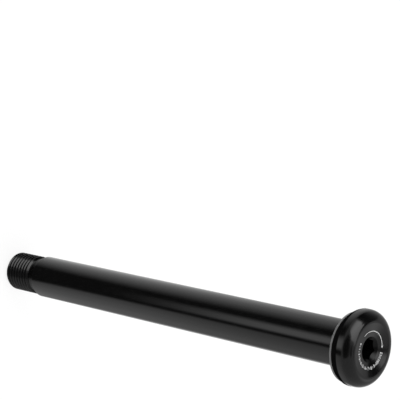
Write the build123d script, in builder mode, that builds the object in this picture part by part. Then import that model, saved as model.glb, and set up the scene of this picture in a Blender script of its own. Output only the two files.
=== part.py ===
from build123d import *

import os
from math import cos, radians, sin, sqrt, tan

# Front thru axle of a bicycle, turned from one aluminium bar: a threaded tip, a plain hollow shaft
# and a domed head with a dished face and a hex socket. It stands on its tip, head up, with +Z
# along its axis and the origin at the centre of the tip's end face. All lengths are in millimetres.

# Shaft that the hub's end caps slide along
shaft_d = 15.0
under_head_length = 158.0
seat_fillet = 0.5

# Threaded tip, a step smaller than the shaft so that it passes through the hub
thread_step = 0.5
thread_length = 13.2
tip_chamfer = 0.8

# Run-out relief behind the thread, and the tapered shoulder up to the shaft
relief_depth = 0.3
relief_length = 1.5
shoulder_angle = 45.0

# Blind bore drilled up from the tip to save weight
bore_wall = 1.7
bore_chamfer = 0.4
drill_point_angle = 118.0
socket_web = 3.0

# Head: a thin flange at the seat, a bellied back that widens to the rim, a plain rim band and a dome
# of two tangent arcs
head_overhang = 4.7
flange_thickness = 0.8
flange_step = 0.25
back_length = 2.6
back_drop = 1.35
back_radius = 8.0
rim_band = 0.65
dome_side_radius = 7.0
dome_side_turn = 8.0
dome_shoulder_radius = 3.3

# Shallow conical dish in the face, running down to the socket's mouth
dish_angle = 11.0

# Hex socket, broached over a pilot hole and countersunk at its mouth
socket_flats = 6.0
socket_depth = 6.0
socket_turn = 30.0
socket_sides = 6
mouth_chamfer = 0.6
broach_margin = 0.2

# Radii that follow from the sizes above
shaft_r = shaft_d / 2
thread_r = shaft_r - thread_step
relief_r = thread_r - relief_depth
bore_r = relief_r - bore_wall
head_r = shaft_r + head_overhang
back_foot_r = head_r - back_drop
flange_r = back_foot_r + flange_step
socket_corner_r = socket_flats / sqrt(3)
mouth_r = socket_corner_r + mouth_chamfer
pilot_r = socket_flats / 2 - broach_margin

# Heights along the axis, from the tip up
relief_start_z = thread_length + relief_depth
relief_end_z = relief_start_z + relief_length
shoulder_z = relief_end_z + (shaft_r - relief_r) / tan(radians(shoulder_angle))
seat_z = under_head_length
back_foot_z = seat_z + flange_thickness
rim_base_z = back_foot_z + back_length
rim_top_z = rim_base_z + rim_band

# The dome's side arc leaves the rim upright, and the shoulder arc carries on from it over the crown
side_rise = dome_side_radius * sin(radians(dome_side_turn))
shoulder_rise = dome_shoulder_radius * (1 - sin(radians(dome_side_turn)))
side_reach = dome_side_radius * (1 - cos(radians(dome_side_turn)))
shoulder_reach = dome_shoulder_radius * cos(radians(dome_side_turn))
crown_z = rim_top_z + side_rise + shoulder_rise
crown_r = head_r - side_reach - shoulder_reach

# The shoulder arc runs on past the crown until it meets the dish, which falls to the socket's mouth
dish_edge_r = crown_r - dome_shoulder_radius * sin(radians(dish_angle))
dish_edge_z = crown_z - dome_shoulder_radius * (1 - cos(radians(dish_angle)))
mouth_z = dish_edge_z - (dish_edge_r - mouth_r) * tan(radians(dish_angle))

# Depths of the socket and of the bore, each ending in a drill point
point_slope = 1 / tan(radians(drill_point_angle / 2))
socket_floor_z = mouth_z - socket_depth
socket_point_z = socket_floor_z - pilot_r * point_slope
bore_point_z = socket_point_z - socket_web
bore_end_z = bore_point_z - bore_r * point_slope

with BuildPart() as axle:
    # Half section of the turned bar, from the bore's drill point round the outside to the socket's
    with BuildSketch(Plane.XZ):
        with BuildLine():
            Polyline(
                (0, bore_point_z),
                (bore_r, bore_end_z),
                (bore_r, bore_chamfer),
                (bore_r + bore_chamfer, 0),
                (thread_r - tip_chamfer, 0),
                (thread_r, tip_chamfer),
                (thread_r, thread_length),
                (relief_r, relief_start_z),
                (relief_r, relief_end_z),
                (shaft_r, shoulder_z),
                (shaft_r, seat_z - seat_fillet),
            )
            RadiusArc((shaft_r, seat_z - seat_fillet), (shaft_r + seat_fillet, seat_z), seat_fillet)
            Polyline(
                (shaft_r + seat_fillet, seat_z),
                (flange_r, seat_z),
                (flange_r, back_foot_z),
                (back_foot_r, back_foot_z),
            )
            RadiusArc((back_foot_r, back_foot_z), (head_r, rim_base_z), -back_radius)
            Line((head_r, rim_base_z), (head_r, rim_top_z))
            side = JernArc((head_r, rim_top_z), (0, 1), dome_side_radius, dome_side_turn)
            crown = JernArc(side @ 1, side % 1, dome_shoulder_radius, 90 - dome_side_turn + dish_angle)
            Polyline(
                crown @ 1,
                (mouth_r, mouth_z),
                (pilot_r, mouth_z - (mouth_r - pilot_r)),
                (pilot_r, socket_floor_z),
                (0, socket_point_z),
                (0, bore_point_z),
            )
        make_face()
    revolve(axis=Axis.Z)

    # Hex broached down through the dish to the socket's floor
    with BuildSketch(Plane.XY.offset(mouth_z)):
        RegularPolygon(socket_flats / 2, socket_sides, major_radius=False, rotation=socket_turn)
    extrude(amount=-socket_depth, mode=Mode.SUBTRACT)

axle.part.label = "axle"

os.makedirs("parts", exist_ok=True)
export_step(axle.part, "parts/axle.step")
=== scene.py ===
import bmesh
import bpy
from math import cos, degrees, pi, radians, sin, sqrt, tan
from mathutils import Matrix, Vector


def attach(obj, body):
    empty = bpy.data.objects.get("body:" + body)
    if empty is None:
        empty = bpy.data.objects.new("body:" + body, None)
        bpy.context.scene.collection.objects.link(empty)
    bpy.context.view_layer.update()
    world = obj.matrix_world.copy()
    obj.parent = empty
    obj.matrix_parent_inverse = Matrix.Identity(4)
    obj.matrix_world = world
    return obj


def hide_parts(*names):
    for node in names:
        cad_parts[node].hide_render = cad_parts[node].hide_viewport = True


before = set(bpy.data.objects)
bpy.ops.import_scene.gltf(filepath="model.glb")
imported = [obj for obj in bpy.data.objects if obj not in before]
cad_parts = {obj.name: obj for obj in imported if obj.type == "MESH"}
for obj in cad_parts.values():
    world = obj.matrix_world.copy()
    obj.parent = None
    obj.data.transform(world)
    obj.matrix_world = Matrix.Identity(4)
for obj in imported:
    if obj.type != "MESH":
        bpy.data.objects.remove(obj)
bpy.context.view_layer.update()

# Bar of the axle: one length of aluminium bar, turned on a lathe to a stepped tip, a plain shaft and
# a domed head, and drilled up from the tip. The tool's path is drawn once and spun round the axis.
# The flange was turned in a second chucking, so its edge lies a little to one side.
MM = 0.001
TURN_STEPS = 160
SHAFT_R = 7.5
THREAD_R = 7.0
NECK_R = 6.4
BORE_R = 5.0
HEAD_R = 12.2
FLANGE_R = 11.1
BACK_FOOT_R = 10.85
BORE_CHAMFER = 0.4
PILOT_R = 2.8
TIP_CHAMFER = 0.8
CREST_END_Z = 12.3
NECK_SLOPE = 0.35
SHOULDER_Z = 15.8
SEAT_Z = 158.0
FLANGE_TOP_Z = 158.8
RIM_BASE_Z = 161.4
RIM_TOP_Z = 162.05
SIDE_ARC_R = 7.0
SIDE_TURN = 8.0
SHOULDER_ARC_R = 3.3
DISH_ANGLE = 11.0
SEAT_FILLET = 0.5
BACK_ARC_R = 3.0
EDGE_ROUND = 0.1
EDGE_STEPS = 3
FILLET_STEPS = 6
BACK_STEPS = 8
SIDE_STEPS = 5
CROWN_STEPS = 28
FLANGE_RUNOUT = 0.45
RUNOUT_FROM_R = SHAFT_R + 1
RUNOUT_FROM_Z = SEAT_Z - 0.01
RUNOUT_TO_Z = RIM_BASE_Z - 0.2
SOCKET_FLATS = 6.0
SOCKET_DEPTH = 6.0
MOUTH_CHAMFER = 0.6
SOCKET_WEB = 3.0
DRILL_HALF_ANGLE = 59.0
SAME_SPOT = 0.001
SOCKET_CORNER_R = SOCKET_FLATS / sqrt(3)
MOUTH_R = SOCKET_CORNER_R + MOUTH_CHAMFER
CROWN_CENTRE_R = HEAD_R - SIDE_ARC_R + (SIDE_ARC_R - SHOULDER_ARC_R) * cos(radians(SIDE_TURN))
CROWN_CENTRE_Z = RIM_TOP_Z + (SIDE_ARC_R - SHOULDER_ARC_R) * sin(radians(SIDE_TURN))
DISH_EDGE_R = CROWN_CENTRE_R - SHOULDER_ARC_R * sin(radians(DISH_ANGLE))
DISH_EDGE_Z = CROWN_CENTRE_Z + SHOULDER_ARC_R * cos(radians(DISH_ANGLE))
MOUTH_Z = DISH_EDGE_Z - (DISH_EDGE_R - MOUTH_R) * tan(radians(DISH_ANGLE))
SOCKET_FLOOR_Z = MOUTH_Z - SOCKET_DEPTH
POINT_SLOPE = 1 / tan(radians(DRILL_HALF_ANGLE))
SOCKET_POINT_Z = SOCKET_FLOOR_Z - PILOT_R * POINT_SLOPE
BORE_POINT_Z = SOCKET_POINT_Z - SOCKET_WEB

bar = bmesh.new()


def straight_cut(tool, r, z):
    made = bmesh.ops.extrude_vert_indiv(bar, verts=[tool])
    made["verts"][0].co = (r * MM, 0, z * MM)
    return made["verts"][0]


def round_cut(tool, centre_r, centre_z, turn, steps):
    made = bmesh.ops.spin(
        bar, geom=[tool], cent=(centre_r * MM, 0, centre_z * MM), axis=(0, -1, 0),
        angle=radians(turn), steps=steps, use_duplicate=False,
    )
    return [v for v in made["geom_last"] if isinstance(v, bmesh.types.BMVert)][0]


tool = bar.verts.new((0, 0, BORE_POINT_Z * MM))
corners = []
for r, z in (
    (BORE_R, BORE_POINT_Z - BORE_R * POINT_SLOPE),
    (BORE_R, BORE_CHAMFER),
    (BORE_R + BORE_CHAMFER, 0),
    (THREAD_R - TIP_CHAMFER, 0),
    (THREAD_R, TIP_CHAMFER),
    (THREAD_R, CREST_END_Z),
    (NECK_R, CREST_END_Z + NECK_SLOPE),
    (NECK_R, SHOULDER_Z - (SHAFT_R - NECK_R)),
    (SHAFT_R, SHOULDER_Z),
    (SHAFT_R, SEAT_Z - SEAT_FILLET),
):
    tool = straight_cut(tool, r, z)
    corners.append(tool)
corners.pop()
tool = round_cut(tool, SHAFT_R + SEAT_FILLET, SEAT_Z - SEAT_FILLET, -90, FILLET_STEPS)
for r, z in ((FLANGE_R, SEAT_Z), (FLANGE_R, FLANGE_TOP_Z), (BACK_FOOT_R, FLANGE_TOP_Z)):
    tool = straight_cut(tool, r, z)
    corners.append(tool)
chord = Vector((HEAD_R - BACK_FOOT_R, RIM_BASE_Z - FLANGE_TOP_Z))
to_centre = sqrt(BACK_ARC_R**2 - chord.length_squared / 4)
middle = Vector((BACK_FOOT_R, FLANGE_TOP_Z)) + chord / 2
belly_centre = middle + Vector((-chord.y, chord.x)).normalized() * to_centre
# The arc stops a little short of the rim, and a straight cut carries on from there.
belly_turn = degrees(chord.length / BACK_ARC_R)
tool = round_cut(tool, belly_centre.x, belly_centre.y, belly_turn, BACK_STEPS)
corners.append(tool)
tool = straight_cut(tool, HEAD_R, RIM_TOP_Z)
tool = round_cut(tool, HEAD_R - SIDE_ARC_R, RIM_TOP_Z, SIDE_TURN, SIDE_STEPS)
crown_turn = 90 - SIDE_TURN + DISH_ANGLE
tool = round_cut(tool, CROWN_CENTRE_R, CROWN_CENTRE_Z, crown_turn, CROWN_STEPS)
for r, z in (
    (MOUTH_R, MOUTH_Z),
    (PILOT_R, MOUTH_Z - (MOUTH_R - PILOT_R)),
    (PILOT_R, SOCKET_FLOOR_Z),
    (0, SOCKET_POINT_Z),
):
    tool = straight_cut(tool, r, z)
bmesh.ops.bevel(
    bar, geom=corners, offset=EDGE_ROUND * MM, segments=EDGE_STEPS, profile=0.5,
    affect="VERTICES", material=-1,
)
bmesh.ops.spin(
    bar, geom=bar.verts[:] + bar.edges[:], axis=(0, 0, 1), angle=2 * pi, steps=TURN_STEPS, use_merge=True
)
bmesh.ops.remove_doubles(bar, verts=bar.verts, dist=SAME_SPOT * MM)
for v in bar.verts:
    r, z = v.co.xy.length / MM, v.co.z / MM
    if r > RUNOUT_FROM_R and RUNOUT_FROM_Z < z < RUNOUT_TO_Z:
        v.co.x += FLANGE_RUNOUT * MM * min(1, (RIM_BASE_Z - z) / (RIM_BASE_Z - FLANGE_TOP_Z))
bmesh.ops.recalc_face_normals(bar, faces=bar.faces)
bar_mesh = bpy.data.meshes.new("axle_bar")
bar.to_mesh(bar_mesh)
bar.free()
axle = bpy.data.objects.new("axle_bar", bar_mesh)
bpy.context.scene.collection.objects.link(axle)


# Thread on the tip: M14 x 1.5, right-handed, cut into the bar with a V tool that starts past the end
# and is drawn out in the neck, so the flank of the last turn lies open to the light.
PITCH = 1.5
GROOVE_DEPTH = 0.9
GROOVE_ROOT = 0.34
FLANK_ANGLE = 30
FLANK_SLOPE = tan(radians(FLANK_ANGLE))
BRIGHT_FLANK = 0.45
GROOVE_STEPS = 96
GROOVE_TURNS = 10
FIRST_GROOVE_Z = -0.8
TOOL_CLEARANCE = 0.08
SKIN_GAP = 0.006
TURN_GAP = 0.004
CREST_ROUND = 0.1
CREST_STEPS = 4
DRAW_OUT_Z = 13.0
DRAW_OUT_LENGTH = 1.0


def cut_away(piece, cutter_bmesh):
    mesh = bpy.data.meshes.new("cutter")
    cutter_bmesh.to_mesh(mesh)
    cutter_bmesh.free()
    cutter = bpy.data.objects.new("cutter", mesh)
    bpy.context.scene.collection.objects.link(cutter)
    cut = piece.modifiers.new("cut", "BOOLEAN")
    cut.operation = "DIFFERENCE"
    cut.solver = "EXACT"
    cut.object = cutter
    shaped = bpy.data.meshes.new_from_object(piece.evaluated_get(bpy.context.evaluated_depsgraph_get()))
    piece.modifiers.clear()
    old = piece.data
    piece.data = shaped
    bpy.data.meshes.remove(old)
    bpy.data.objects.remove(cutter)
    bpy.data.meshes.remove(mesh)


# Section of the V tool: its root, two flanks, and a flat back whose wings stay just off the crests
groove = bmesh.new()
half_root = GROOVE_ROOT / 2
skin = THREAD_R + SKIN_GAP
half_mouth = half_root + GROOVE_DEPTH * FLANK_SLOPE
half_flare = PITCH / 2 - TURN_GAP
ring = [
    groove.verts.new((r * MM, 0, (FIRST_GROOVE_Z + z) * MM))
    for r, z in (
        (THREAD_R - GROOVE_DEPTH, -half_root),
        (THREAD_R - GROOVE_DEPTH, half_root),
        (THREAD_R - BRIGHT_FLANK, half_mouth - BRIGHT_FLANK * FLANK_SLOPE),
        (skin, half_mouth),
        (skin, half_flare),
        (THREAD_R + TOOL_CLEARANCE, half_flare),
        (THREAD_R + TOOL_CLEARANCE, -half_flare),
        (skin, -half_flare),
        (skin, -half_mouth),
        (THREAD_R - BRIGHT_FLANK, BRIGHT_FLANK * FLANK_SLOPE - half_mouth),
    )
]
for a, b in zip(ring, ring[1:] + ring[:1]):
    groove.edges.new((a, b))
mouth_corners = [ring[3], ring[8]]
bmesh.ops.bevel(
    groove, geom=mouth_corners, offset=CREST_ROUND * FLANK_SLOPE * MM, segments=CREST_STEPS, profile=0.5,
    affect="VERTICES", material=-1,
)
bmesh.ops.spin(
    groove, geom=groove.verts[:] + groove.edges[:], axis=(0, 0, 1), angle=2 * pi * GROOVE_TURNS,
    steps=GROOVE_STEPS * GROOVE_TURNS, dvec=(0, 0, PITCH / GROOVE_STEPS * MM),
)
bmesh.ops.holes_fill(groove, edges=[e for e in groove.edges if e.is_boundary], sides=0)
for v in groove.verts:
    drawn = min(1.0, max(0.0, (v.co.z / MM - DRAW_OUT_Z) / DRAW_OUT_LENGTH))
    out = Vector((v.co.x, v.co.y, 0)).normalized()
    v.co += out * drawn * (GROOVE_DEPTH + TOOL_CLEARANCE) * MM
bmesh.ops.recalc_face_normals(groove, faces=groove.faces)
cut_away(axle, groove)


# Hex socket: pressed straight down over the pilot hole with a six-sided broach, to take a 6 mm key.
# Its walls belong to the bar, so it is cut out of the same mesh.
SOCKET_SIDES = 6
SHARP_ANGLE = 28

hexagon = bmesh.new()
bmesh.ops.create_cone(
    hexagon, cap_ends=True, segments=SOCKET_SIDES, radius1=SOCKET_CORNER_R * MM, radius2=SOCKET_CORNER_R * MM,
    depth=SOCKET_DEPTH * MM, matrix=Matrix.Translation((0, 0, (MOUTH_Z - SOCKET_DEPTH / 2) * MM)),
)
cut_away(axle, hexagon)

axle.data.polygons.foreach_set("use_smooth", [True] * len(axle.data.polygons))
axle.data.set_sharp_from_angle(angle=radians(SHARP_ANGLE))
axle.modifiers.new("true_faces", "WEIGHTED_NORMAL").keep_sharp = True


# Finish of the axle: black anodising over fine turned rings, with a satin gloss. The undercut back of
# the head is bead blasted dull, and the flange's edge has a pale bare-metal colour: a painted highlight
# for the bright line the edge catches.
FINISH_IOR = 1.5
CLOUD_SCALE = 260
CLOUD_LOW = 0.3
CLOUD_HIGH = 0.7
DYE_SWING = 0.2
BLACK_DYE = (0.001, 0.001, 0.00105)
DULL_DYE = (0.0035, 0.0035, 0.0036)
ROOT_DYE = (0.01, 0.01, 0.0102)
# The pale bare metal on the flange's edge is a painted highlight for the bright line along it.
HIGHLIGHT_METAL = (0.4, 0.4, 0.4)


def turned_finish(name, colour, metallic, specular, dullness, spread, ring_pitch, ring_depth):
    finish = bpy.data.materials.new(name)
    finish.use_nodes = True
    nodes = finish.node_tree.nodes
    links = finish.node_tree.links
    shader = nodes["Principled BSDF"]
    shader.inputs["Metallic"].default_value = metallic
    shader.inputs["IOR"].default_value = FINISH_IOR
    shader.inputs["Specular IOR Level"].default_value = specular
    place = nodes.new("ShaderNodeTexCoord")
    split = nodes.new("ShaderNodeSeparateXYZ")
    links.new(place.outputs["Object"], split.inputs[0])
    across = nodes.new("ShaderNodeCombineXYZ")
    links.new(split.outputs["X"], across.inputs["X"])
    links.new(split.outputs["Y"], across.inputs["Y"])
    radius = nodes.new("ShaderNodeVectorMath")
    radius.operation = "LENGTH"
    links.new(across.outputs[0], radius.inputs[0])
    path = nodes.new("ShaderNodeMath")
    path.operation = "ADD"
    links.new(radius.outputs["Value"], path.inputs[0])
    links.new(split.outputs["Z"], path.inputs[1])
    rings = nodes.new("ShaderNodeTexNoise")
    rings.noise_dimensions = "1D"
    rings.inputs["Scale"].default_value = 1 / (ring_pitch * MM)
    rings.inputs["Detail"].default_value = 2
    links.new(path.outputs[0], rings.inputs["W"])
    relief = nodes.new("ShaderNodeBump")
    relief.inputs["Strength"].default_value = 1.0
    relief.inputs["Distance"].default_value = ring_depth * MM
    links.new(rings.outputs["Fac"], relief.inputs["Height"])
    links.new(relief.outputs["Normal"], shader.inputs["Normal"])
    cloud = nodes.new("ShaderNodeTexNoise")
    cloud.inputs["Scale"].default_value = CLOUD_SCALE
    cloud.inputs["Detail"].default_value = 3
    links.new(place.outputs["Object"], cloud.inputs["Vector"])
    dulling = nodes.new("ShaderNodeMapRange")
    dulling.inputs["From Min"].default_value = CLOUD_LOW
    dulling.inputs["From Max"].default_value = CLOUD_HIGH
    dulling.inputs["To Min"].default_value = dullness - spread
    dulling.inputs["To Max"].default_value = dullness + spread
    links.new(cloud.outputs["Fac"], dulling.inputs["Value"])
    links.new(dulling.outputs[0], shader.inputs["Roughness"])
    dye = nodes.new("ShaderNodeValToRGB")
    dye.color_ramp.elements[0].position = CLOUD_LOW
    dye.color_ramp.elements[1].position = CLOUD_HIGH
    dye.color_ramp.elements[0].color = (*[(1 - DYE_SWING) * c for c in colour], 1)
    dye.color_ramp.elements[1].color = (*[(1 + DYE_SWING) * c for c in colour], 1)
    links.new(cloud.outputs["Fac"], dye.inputs["Fac"])
    links.new(dye.outputs["Color"], shader.inputs["Base Color"])
    return finish


axle.data.materials.clear()
# Name, dye, metallic, specular, dullness and its spread, pitch and depth of the turned rings
for finish in (
    turned_finish("black_anodised", BLACK_DYE, 0, 0.5, 0.15, 0.02, 0.5, 0.0015),
    turned_finish("dull_black", DULL_DYE, 0, 0.0, 0.6, 0.05, 0.4, 0.002),
    # Painted highlight: the flange's edge is made pale bare metal so that it reads as a bright line.
    turned_finish("painted_highlight_edge", HIGHLIGHT_METAL, 1, 0.5, 0.7, 0.05, 0.3, 0.001),
    turned_finish("cut_black", BLACK_DYE, 0, 0.26, 0.28, 0.04, 0.3, 0.002),
    turned_finish("root_black", ROOT_DYE, 0, 0.08, 0.6, 0.05, 0.2, 0.002),
    turned_finish("head_black", BLACK_DYE, 0, 0.5, 0.13, 0.02, 0.4, 0.0015),
):
    axle.data.materials.append(finish)
DULL_BLACK, PAINTED_HIGHLIGHT_EDGE, CUT_BLACK, ROOT_BLACK, HEAD_BLACK = 1, 2, 3, 4, 5

# Where each finish lies, as its least and greatest radius and height, set a hair off the edges so that
# a rounded corner goes with the right side. The first zone that fits a face is taken.
AXIS = -1
ANY_R = 2 * HEAD_R
TOP_Z = 2 * SEAT_Z
BACK_FROM_R = SHAFT_R + 2.4
BACK_FROM_Z = FLANGE_TOP_Z + 0.02
BACK_TO_Z = RIM_BASE_Z - 0.05
# Band of the flange's edge that carries the painted highlight
HIGHLIGHT_FROM_R = FLANGE_R - FLANGE_RUNOUT - 0.06
HIGHLIGHT_FROM_Z = SEAT_Z + 0.09
HIGHLIGHT_TO_Z = FLANGE_TOP_Z - 0.06
WALL_FROM_R = BORE_R + 0.1
NECK_TO_R = NECK_R + 0.02
SHOULDER_TO_R = SHAFT_R - 0.1
SHOULDER_FROM_Z = SHOULDER_Z - 1.2
SOCKET_FROM_Z = SOCKET_POINT_Z - 0.1
ROOT_FROM_R = BORE_R + 0.5
ROOT_TO_R = THREAD_R - BRIGHT_FLANK
FIRST_ROOT_Z = 0.2
LAST_ROOT_Z = 11.5
ZONES = (
    (DULL_BLACK, BACK_FROM_R, ANY_R, BACK_FROM_Z, BACK_TO_Z),
    # The flange's edge takes the painted highlight.
    (PAINTED_HIGHLIGHT_EDGE, HIGHLIGHT_FROM_R, ANY_R, HIGHLIGHT_FROM_Z, HIGHLIGHT_TO_Z),
    (CUT_BLACK, WALL_FROM_R, NECK_TO_R, CREST_END_Z, SHOULDER_Z),
    (CUT_BLACK, WALL_FROM_R, SHOULDER_TO_R, SHOULDER_FROM_Z, SHOULDER_Z),
    (CUT_BLACK, AXIS, MOUTH_R, SOCKET_FROM_Z, TOP_Z),
    (ROOT_BLACK, ROOT_FROM_R, ROOT_TO_R, FIRST_ROOT_Z, LAST_ROOT_Z),
    (HEAD_BLACK, AXIS, ANY_R, BACK_TO_Z, TOP_Z),
)
for face in axle.data.polygons:
    r, z = face.center.xy.length / MM, face.center.z / MM
    for slot, least_r, greatest_r, least_z, greatest_z in ZONES:
        if least_r < r < greatest_r and least_z < z < greatest_z:
            face.material_index = slot
            break
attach(axle, "root")
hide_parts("axle")


# Scale on the dish: plain figures and ticks with a plain arc that ends in a dot, printed in light grey
# ink on the anodised face.
SCALE_R = 5.85
INK_LIFT = 0.012
FIGURE_SIZE = 1.35
FIGURE_BOLD = 0.035
FIGURE_STEPS = 4
FIGURES = 13
FIRST_FIGURE = -10.0
LAST_FIGURE = 174.0
ARC_START = -37.0
ARC_END = -162.0
ARC_R = 5.8
ARC_WIDTH = 0.24
ARC_STEPS = 48
DOT_R = 0.34
DOT_SIDES = 24
TICK_WIDTH = 0.16
TICK_LENGTH = 0.62
INK_WELD = 0.0005
INK_GRAIN = 4000
INK_THIN = 0.3
INK_FULL = 0.65
INK_DARK = (0.32, 0.32, 0.32, 1)
INK_LIGHT = (0.46, 0.46, 0.46, 1)
INK_SPECULAR = 0.3
INK_LEAST_DULL = 0.5
INK_MOST_DULL = 0.75


def dish_height(r):
    return MOUTH_Z + (r - MOUTH_R) * tan(radians(DISH_ANGLE))


def on_dish(r, azimuth):
    a = radians(azimuth)
    outward = Vector((sin(a), -cos(a), 0))
    up_slope = outward * cos(radians(DISH_ANGLE)) + Vector((0, 0, sin(radians(DISH_ANGLE))))
    inward = -up_slope
    along = Vector((cos(a), sin(a), 0))
    normal = along.cross(inward)
    spot = outward * r * MM + Vector((0, 0, dish_height(r) * MM))
    return Matrix.Translation(spot) @ Matrix((along, inward, normal)).transposed().to_4x4()


ink = bmesh.new()


def print_figure(text, azimuth):
    letter = bpy.data.curves.new("figure", "FONT")
    letter.body = text
    letter.size = FIGURE_SIZE * MM
    letter.align_x = "CENTER"
    letter.align_y = "CENTER"
    letter.extrude = INK_LIFT * MM
    letter.offset = FIGURE_BOLD * MM
    letter.resolution_u = FIGURE_STEPS
    shown = bpy.data.objects.new("figure", letter)
    bpy.context.scene.collection.objects.link(shown)
    shape = bpy.data.meshes.new_from_object(shown.evaluated_get(bpy.context.evaluated_depsgraph_get()))
    shape.transform(on_dish(SCALE_R, azimuth))
    ink.from_mesh(shape)
    bpy.data.objects.remove(shown)
    bpy.data.curves.remove(letter)
    bpy.data.meshes.remove(shape)


spacing = (LAST_FIGURE - FIRST_FIGURE) / (FIGURES - 1)
for count in range(FIGURES):
    print_figure(str(count), FIRST_FIGURE + count * spacing)
    if count:
        made = bmesh.ops.create_cube(ink, size=1.0)
        tick = Matrix.Diagonal((TICK_WIDTH * MM, TICK_LENGTH * MM, 2 * INK_LIFT * MM, 1))
        spot = on_dish(SCALE_R, FIRST_FIGURE + (count - 0.5) * spacing)
        bmesh.ops.transform(ink, verts=made["verts"], matrix=spot @ tick)
strip = [
    ink.verts.new(on_dish(ARC_R, ARC_START) @ Vector((0, y * ARC_WIDTH / 2 * MM, z * INK_LIFT * MM)))
    for y, z in ((-1, -1), (1, -1), (1, 1), (-1, 1))
]
edges = [ink.edges.new((v, w)) for v, w in zip(strip, strip[1:] + strip[:1])]
swept = bmesh.ops.spin(
    ink, geom=strip + edges, axis=(0, 0, 1), angle=radians(ARC_END - ARC_START), steps=ARC_STEPS
)
ends = edges + [e for e in swept["geom_last"] if isinstance(e, bmesh.types.BMEdge)]
bmesh.ops.holes_fill(ink, edges=ends, sides=4)
bmesh.ops.create_cone(
    ink, cap_ends=True, segments=DOT_SIDES, radius1=DOT_R * MM, radius2=DOT_R * MM,
    depth=2 * INK_LIFT * MM, matrix=on_dish(ARC_R, ARC_END),
)
bmesh.ops.remove_doubles(ink, verts=ink.verts, dist=INK_WELD * MM)
bmesh.ops.recalc_face_normals(ink, faces=ink.faces)
ink_mesh = bpy.data.meshes.new("scale_marks")
ink.to_mesh(ink_mesh)
ink.free()
marks = bpy.data.objects.new("scale_marks", ink_mesh)
bpy.context.scene.collection.objects.link(marks)

pale = bpy.data.materials.new("pale_ink")
pale.use_nodes = True
nodes = pale.node_tree.nodes
links = pale.node_tree.links
shader = nodes["Principled BSDF"]
shader.inputs["Specular IOR Level"].default_value = INK_SPECULAR
place = nodes.new("ShaderNodeTexCoord")
grain = nodes.new("ShaderNodeTexNoise")
grain.inputs["Scale"].default_value = INK_GRAIN
grain.inputs["Detail"].default_value = 2
links.new(place.outputs["Object"], grain.inputs["Vector"])
cover = nodes.new("ShaderNodeValToRGB")
cover.color_ramp.elements[0].position = INK_THIN
cover.color_ramp.elements[0].color = INK_DARK
cover.color_ramp.elements[1].position = INK_FULL
cover.color_ramp.elements[1].color = INK_LIGHT
links.new(grain.outputs["Fac"], cover.inputs["Fac"])
links.new(cover.outputs["Color"], shader.inputs["Base Color"])
dull = nodes.new("ShaderNodeMapRange")
dull.inputs["To Min"].default_value = INK_LEAST_DULL
dull.inputs["To Max"].default_value = INK_MOST_DULL
links.new(grain.outputs["Fac"], dull.inputs["Value"])
links.new(dull.outputs[0], shader.inputs["Roughness"])
marks.data.materials.append(pale)
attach(marks, "root")


# Floor: a wide sheet of plain white card, laid flat, that the axle stands on. It is lit until it
# looks white, and only a faint shadow round the tip is left on it.
def flat_sheet(name, size, height):
    sheet = bmesh.new()
    bmesh.ops.create_grid(sheet, x_segments=1, y_segments=1, size=size)
    bmesh.ops.translate(sheet, verts=sheet.verts, vec=(0, 0, height))
    mesh = bpy.data.meshes.new(name)
    sheet.to_mesh(mesh)
    sheet.free()
    laid = bpy.data.objects.new(name, mesh)
    bpy.context.scene.collection.objects.link(laid)
    return laid


FLOOR_HALF = 4.0
FLOOR_WHITE = (0.9, 0.9, 0.9, 1)
LIT_SHARE = 0.85
floor = flat_sheet("floor", FLOOR_HALF, 0.0)
white = bpy.data.materials.new("white_floor")
white.use_nodes = True
nodes = white.node_tree.nodes
links = white.node_tree.links
nodes.remove(nodes["Principled BSDF"])
paths = nodes.new("ShaderNodeLightPath")
seen = nodes.new("ShaderNodeMath")
seen.operation = "MAXIMUM"
links.new(paths.outputs["Is Camera Ray"], seen.inputs[0])
links.new(paths.outputs["Is Glossy Ray"], seen.inputs[1])
seen_too = nodes.new("ShaderNodeMath")
seen_too.operation = "MAXIMUM"
links.new(seen.outputs[0], seen_too.inputs[0])
links.new(paths.outputs["Is Transmission Ray"], seen_too.inputs[1])
share = nodes.new("ShaderNodeMath")
share.operation = "MULTIPLY"
share.inputs[1].default_value = LIT_SHARE
links.new(seen_too.outputs[0], share.inputs[0])
matt = nodes.new("ShaderNodeBsdfDiffuse")
matt.inputs["Color"].default_value = FLOOR_WHITE
glow = nodes.new("ShaderNodeEmission")
mix = nodes.new("ShaderNodeMixShader")
links.new(share.outputs[0], mix.inputs["Fac"])
links.new(matt.outputs[0], mix.inputs[1])
links.new(glow.outputs[0], mix.inputs[2])
links.new(mix.outputs[0], nodes["Material Output"].inputs["Surface"])
floor.data.materials.append(white)


# Tone sheet: thin card laid on the floor round the axle's foot and shaded from dark to light, for the
# polished shaft to mirror. Only the polish shows it, and the camera sees the white floor.
def only_mirrored(card):
    card.visible_camera = False
    card.visible_diffuse = False
    card.visible_transmission = False
    card.visible_shadow = False


TONE_HALF = 3.0
TONE_LIFT = 0.0002
NEAR_RING = 0.060
FAR_RING = 0.190
HAZE_START = 0.3
HAZE_END = 1.2
HAZE_SHARE = 0.8
HAZE_GREY = (0.42, 0.42, 0.42, 1)
tone = flat_sheet("tone_sheet", TONE_HALF, TONE_LIFT)
only_mirrored(tone)
toned = bpy.data.materials.new("toned_sheet")
toned.use_nodes = True
nodes = toned.node_tree.nodes
links = toned.node_tree.links
nodes.remove(nodes["Principled BSDF"])
place = nodes.new("ShaderNodeTexCoord")
split = nodes.new("ShaderNodeSeparateXYZ")
links.new(place.outputs["Object"], split.inputs[0])
flip = nodes.new("ShaderNodeMath")
flip.operation = "MULTIPLY"
flip.inputs[1].default_value = -1
links.new(split.outputs["Y"], flip.inputs[0])
bearing = nodes.new("ShaderNodeMath")
bearing.operation = "ARCTAN2"
links.new(split.outputs["X"], bearing.inputs[0])
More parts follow.
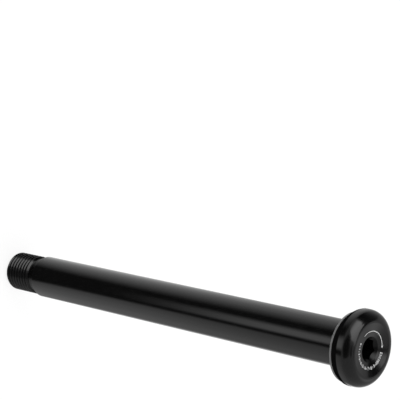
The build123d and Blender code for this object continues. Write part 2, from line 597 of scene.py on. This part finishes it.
links.new(flip.outputs[0], bearing.inputs[1])
turn = nodes.new("ShaderNodeMapRange")
turn.inputs["From Min"].default_value = -pi
turn.inputs["From Max"].default_value = pi
links.new(bearing.outputs[0], turn.inputs["Value"])


def tones(stops):
    ramp = nodes.new("ShaderNodeValToRGB")
    ramp.color_ramp.interpolation = "LINEAR"
    while len(ramp.color_ramp.elements) < len(stops):
        ramp.color_ramp.elements.new(0.5)
    for element, (angle, level) in zip(ramp.color_ramp.elements, stops):
        element.position = (angle + 180) / 360
        element.color = (level, level, level, 1)
    links.new(turn.outputs[0], ramp.inputs["Fac"])
    return ramp


# Bearing round the axle in degrees and the level of grey there, first near the foot, then farther out
near = tones((
    (-180, 0.95), (-113, 1.03), (-83, 0.84), (-66, 0.62), (-50, 0.28), (-38, 0.05), (28, 0.05),
    (38, 0.66), (62, 0.82), (95, 0.7), (130, 0.32), (160, 1.0),
))
far = tones((
    (-180, 0.95), (-150, 0.65), (-113, 0.85), (-83, 0.75), (-63, 0.4), (-45, 0.05), (-23, 0.06),
    (-6, 1.2), (11, 1.25), (22, 0.05), (30, 0.05), (38, 0.58), (65, 0.66), (95, 0.6), (130, 0.27), (160, 1.1),
))
flat = nodes.new("ShaderNodeCombineXYZ")
links.new(split.outputs["X"], flat.inputs["X"])
links.new(split.outputs["Y"], flat.inputs["Y"])
reach = nodes.new("ShaderNodeVectorMath")
reach.operation = "LENGTH"
links.new(flat.outputs[0], reach.inputs[0])
step = nodes.new("ShaderNodeMapRange")
step.interpolation_type = "SMOOTHSTEP"
step.inputs["From Min"].default_value = NEAR_RING
step.inputs["From Max"].default_value = FAR_RING
links.new(reach.outputs["Value"], step.inputs["Value"])
blend = nodes.new("ShaderNodeMix")
blend.data_type = "RGBA"
links.new(step.outputs[0], blend.inputs["Factor"])
links.new(near.outputs["Color"], blend.inputs["A"])
links.new(far.outputs["Color"], blend.inputs["B"])
haze = nodes.new("ShaderNodeMapRange")
haze.inputs["From Min"].default_value = HAZE_START
haze.inputs["From Max"].default_value = HAZE_END
haze.inputs["To Max"].default_value = HAZE_SHARE
links.new(reach.outputs["Value"], haze.inputs["Value"])
fade = nodes.new("ShaderNodeMix")
fade.data_type = "RGBA"
fade.inputs["B"].default_value = HAZE_GREY
links.new(haze.outputs[0], fade.inputs["Factor"])
links.new(blend.outputs["Result"], fade.inputs["A"])
glow = nodes.new("ShaderNodeEmission")
links.new(fade.outputs["Result"], glow.inputs["Color"])
links.new(glow.outputs[0], nodes["Material Output"].inputs["Surface"])
tone.data.materials.append(toned)


# Cards: cloth stretched on frames and stood round the head, out of the picture. A tall softbox leans
# over from the left, dark flags stand beside the camera, at the back and overhead, and a pale wall
# and a dark post stand behind.
HEAD_CENTRE = Vector((0, 0, 0.163))


def bearing_of(azimuth, elevation):
    a, e = radians(azimuth), radians(elevation)
    return Vector((sin(a) * cos(e), -cos(a) * cos(e), sin(e)))


# Corners and centre are seen from the head: degrees round from the camera's side, and degrees up
def studio_card(name, corners, reach, centre, level, edge_level, plain, spread, squeeze=1.0):
    rays = [bearing_of(*c) for c in corners]
    facing = sum(rays, Vector()).normalized()

    def pin(ray):
        return HEAD_CENTRE + ray * (reach / ray.dot(facing))

    panel = bmesh.new()
    panel.faces.new([panel.verts.new(pin(ray)) for ray in rays])
    mesh = bpy.data.meshes.new(name)
    panel.to_mesh(mesh)
    panel.free()
    card = bpy.data.objects.new(name, mesh)
    bpy.context.scene.collection.objects.link(card)
    card.visible_camera = False
    card.visible_shadow = False
    cloth = bpy.data.materials.new(name)
    cloth.use_nodes = True
    nodes = cloth.node_tree.nodes
    links = cloth.node_tree.links
    nodes.remove(nodes["Principled BSDF"])
    place = nodes.new("ShaderNodeTexCoord")
    narrow = nodes.new("ShaderNodeVectorMath")
    narrow.operation = "MULTIPLY"
    narrow.inputs[1].default_value = (1, squeeze, 1)
    links.new(place.outputs["Object"], narrow.inputs[0])
    away = nodes.new("ShaderNodeVectorMath")
    away.operation = "DISTANCE"
    away.inputs[1].default_value = pin(bearing_of(*centre)) * Vector((1, squeeze, 1))
    links.new(narrow.outputs[0], away.inputs[0])
    fall = nodes.new("ShaderNodeMapRange")
    fall.interpolation_type = "SMOOTHSTEP"
    fall.inputs["From Min"].default_value = plain
    fall.inputs["From Max"].default_value = spread
    fall.inputs["To Min"].default_value = level
    fall.inputs["To Max"].default_value = edge_level
    links.new(away.outputs["Value"], fall.inputs["Value"])
    glow = nodes.new("ShaderNodeEmission")
    links.new(fall.outputs[0], glow.inputs["Strength"])
    links.new(glow.outputs[0], nodes["Material Output"].inputs["Surface"])
    card.data.materials.append(cloth)
    return card


studio_card(
    "softbox",
    ((-73, -9), (-50, -9), (-36, 30), (-28, 64), (-32, 75), (-60, 82), (-140, 82), (-170, 72), (-179, 62),
     (-179, 45), (-173, 51), (-158, 51.5), (-143, 52.5), (-130, 57), (-116, 53), (-98, 45), (-81, 28)),
    reach=0.5, centre=(-74, 46), level=2.75, edge_level=0.7, plain=0.0, spread=0.72, squeeze=0.6,
)
only_mirrored(studio_card(
    "camera_flag", ((-30, -2), (38, -2), (44, 45), (58, 66), (60, 80), (6, 80), (-8, 62), (-26, 44)),
    reach=1.2, centre=(8, 30), level=0.06, edge_level=0.46, plain=0.4, spread=1.7,
))
only_mirrored(studio_card(
    "back_flag",
    ((-140, -4), (-80, -4), (-82, 12), (-86, 28), (-104, 45), (-122, 52), (-130, 56), (-143, 52.5),
     (-158, 51.5), (-174, 50.5), (-176, 37), (-162, 33.5), (-150, 22)),
    reach=1.2, centre=(-145, -4), level=0.62, edge_level=0.03, plain=0.0, spread=1.35,
))
only_mirrored(studio_card(
    "back_wall", ((140, 8), (174, 8), (173, 44), (140, 44)),
    reach=1.25, centre=(166, 31), level=0.85, edge_level=0.46, plain=0.0, spread=0.36,
))
only_mirrored(studio_card(
    "post", ((174.5, 42), (180.5, 42), (180.5, 62), (174.5, 62)),
    reach=1.2, centre=(177, 52), level=0.12, edge_level=0.12, plain=0.0, spread=1.0,
))
only_mirrored(studio_card(
    "top_flag", ((20, 74), (60, 72), (110, 74), (155, 68), (176, 78), (0, 84)),
    reach=1.0, centre=(120, 80), level=0.15, edge_level=0.4, plain=0.0, spread=0.5,
))


# Lamp and room: a wide round lamp hung high above lights the floor softly, and the walls of the room
# are plain grey.
LAMP_SIZE = 1.6
LAMP_POWER = 22
LAMP_SPOT = Vector((0.2, 0.3, 1.5))
LAMP_TILT = Vector((0.2, 0.3, 1.4))
ROOM_GREY = (0.46, 0.46, 0.46, 1)

lamp = bpy.data.lights.new("overhead", "AREA")
lamp.shape = "DISK"
lamp.size = LAMP_SIZE
lamp.energy = LAMP_POWER
overhead = bpy.data.objects.new("overhead", lamp)
overhead.location = LAMP_SPOT
overhead.rotation_euler = LAMP_TILT.to_track_quat("Z", "Y").to_euler()
overhead.visible_glossy = False
overhead.visible_camera = False
bpy.context.scene.collection.objects.link(overhead)

room = bpy.data.worlds.new("room")
room.use_nodes = True
room.node_tree.nodes["Background"].inputs["Color"].default_value = ROOM_GREY
bpy.context.scene.world = room


# Camera: a long lens in front of and above the head, turned so that the axle lies across the picture.
# Its place, turn and lens come from a fit to the axle's outline and to the ellipses of its edges.
SENSOR = 36.0
FOCAL_LENGTH = 132.5155
NEAREST = 0.01
CAMERA_SPOT = (0, -0.372868, 0.424487)
CAMERA_TURN = (-9.6127, -46.8933, 108.771)

lens = bpy.data.cameras.new("camera")
lens.sensor_width = SENSOR
lens.lens = FOCAL_LENGTH
lens.clip_start = NEAREST
camera = bpy.data.objects.new("camera", lens)
camera.location = CAMERA_SPOT
camera.rotation_euler = [radians(angle) for angle in CAMERA_TURN]
bpy.context.scene.collection.objects.link(camera)
bpy.context.scene.camera = camera
bpy.context.scene.view_settings.view_transform = "Standard"
